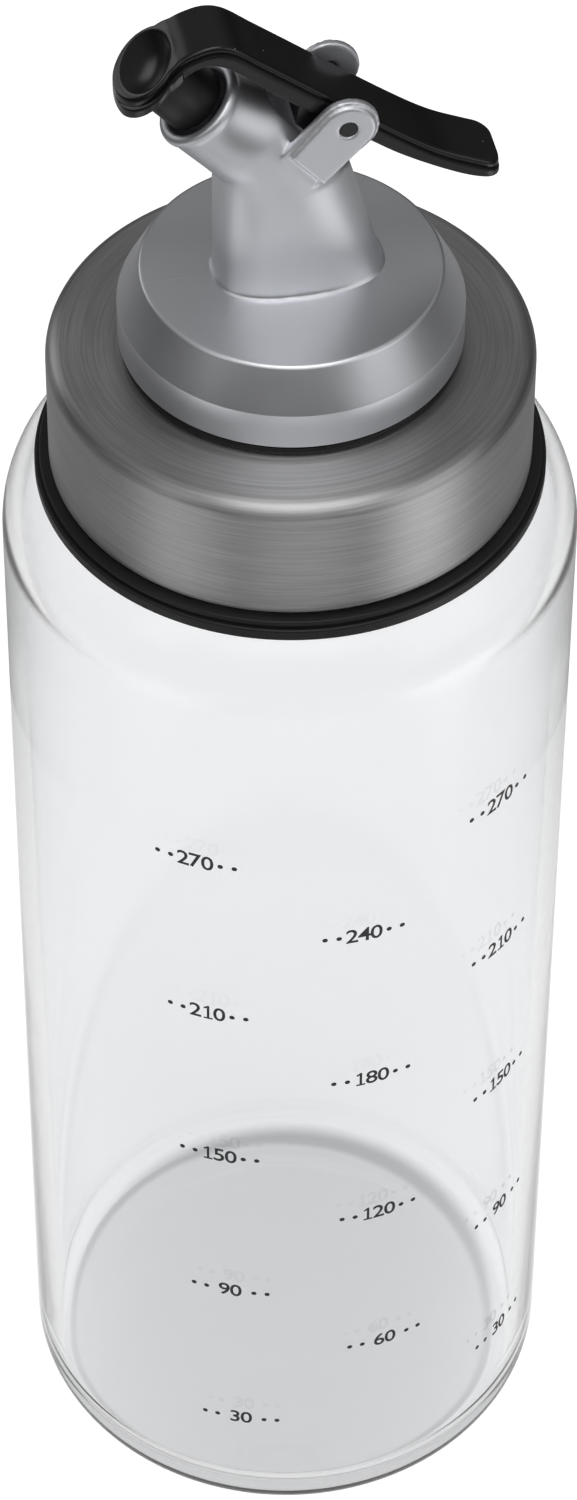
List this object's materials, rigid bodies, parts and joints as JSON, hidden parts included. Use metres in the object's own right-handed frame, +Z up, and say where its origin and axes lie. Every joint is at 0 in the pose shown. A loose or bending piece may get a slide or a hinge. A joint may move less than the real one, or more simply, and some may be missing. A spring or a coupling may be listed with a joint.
{
  "type": "oil cruet",
  "caption": "Glass oil cruet with a screw cap, a tilted pouring spout and a thumb lever that lifts a stopper off its mouth.",
  "frame": {"origin": "centre of the bottle's foot, on the table's surface", "axes": "+Z up along the bottle's axis, -X the way the spout points, Y along the lever's hinge pin"},
  "size_m": [0.06, 0.06, 0.2038],
  "materials": {
    "clear_glass": "clear, smooth",
    "brushed_steel": "brushed round the axis",
    "silver_plastic": "silver, satin sheen",
    "black_plastic": "black, smooth",
    "black_rubber": "matt",
    "grey_silicone": "dark grey, satin",
    "white_plastic": "off-white, matt"
  },
  "bodies": {
    "bottle": {"glass_bottle": "clear_glass", "shoulder_gasket": "black_rubber"},
    "cap_lift": {"lip_washer": "grey_silicone"},
    "cap_turn": {"cap_shell": "brushed_steel", "cap_liner": "white_plastic", "pourer_gasket": "black_rubber", "pourer_body": "silver_plastic", "stem_nut": "white_plastic", "vent_tube": "white_plastic", "hinge_pin": "black_plastic"},
    "lever": {"lever": "black_plastic", "stopper": "grey_silicone"}
  },
  "joints": [
    {"name": "cap_rise", "type": "slide", "parent": "bottle", "child": "cap_lift", "axis": [0, 0, 1], "range_m": [0, 0.006]},
    {"name": "cap_screw", "type": "hinge", "parent": "cap_lift", "child": "cap_turn", "pos_m": [0, 0, 0.1617], "axis": [0, 0, 1], "range_deg": [0, 540]},
    {"name": "lever_hinge", "type": "hinge", "parent": "cap_turn", "child": "lever", "pos_m": [0.00446, 0, 0.19289], "axis": [0, 1, 0], "range_deg": [0, 33]}
  ],
  "couplings": [
    {"joint": "cap_rise", "follows": "cap_screw", "m_per_rad": 0.0006366}
  ]
}
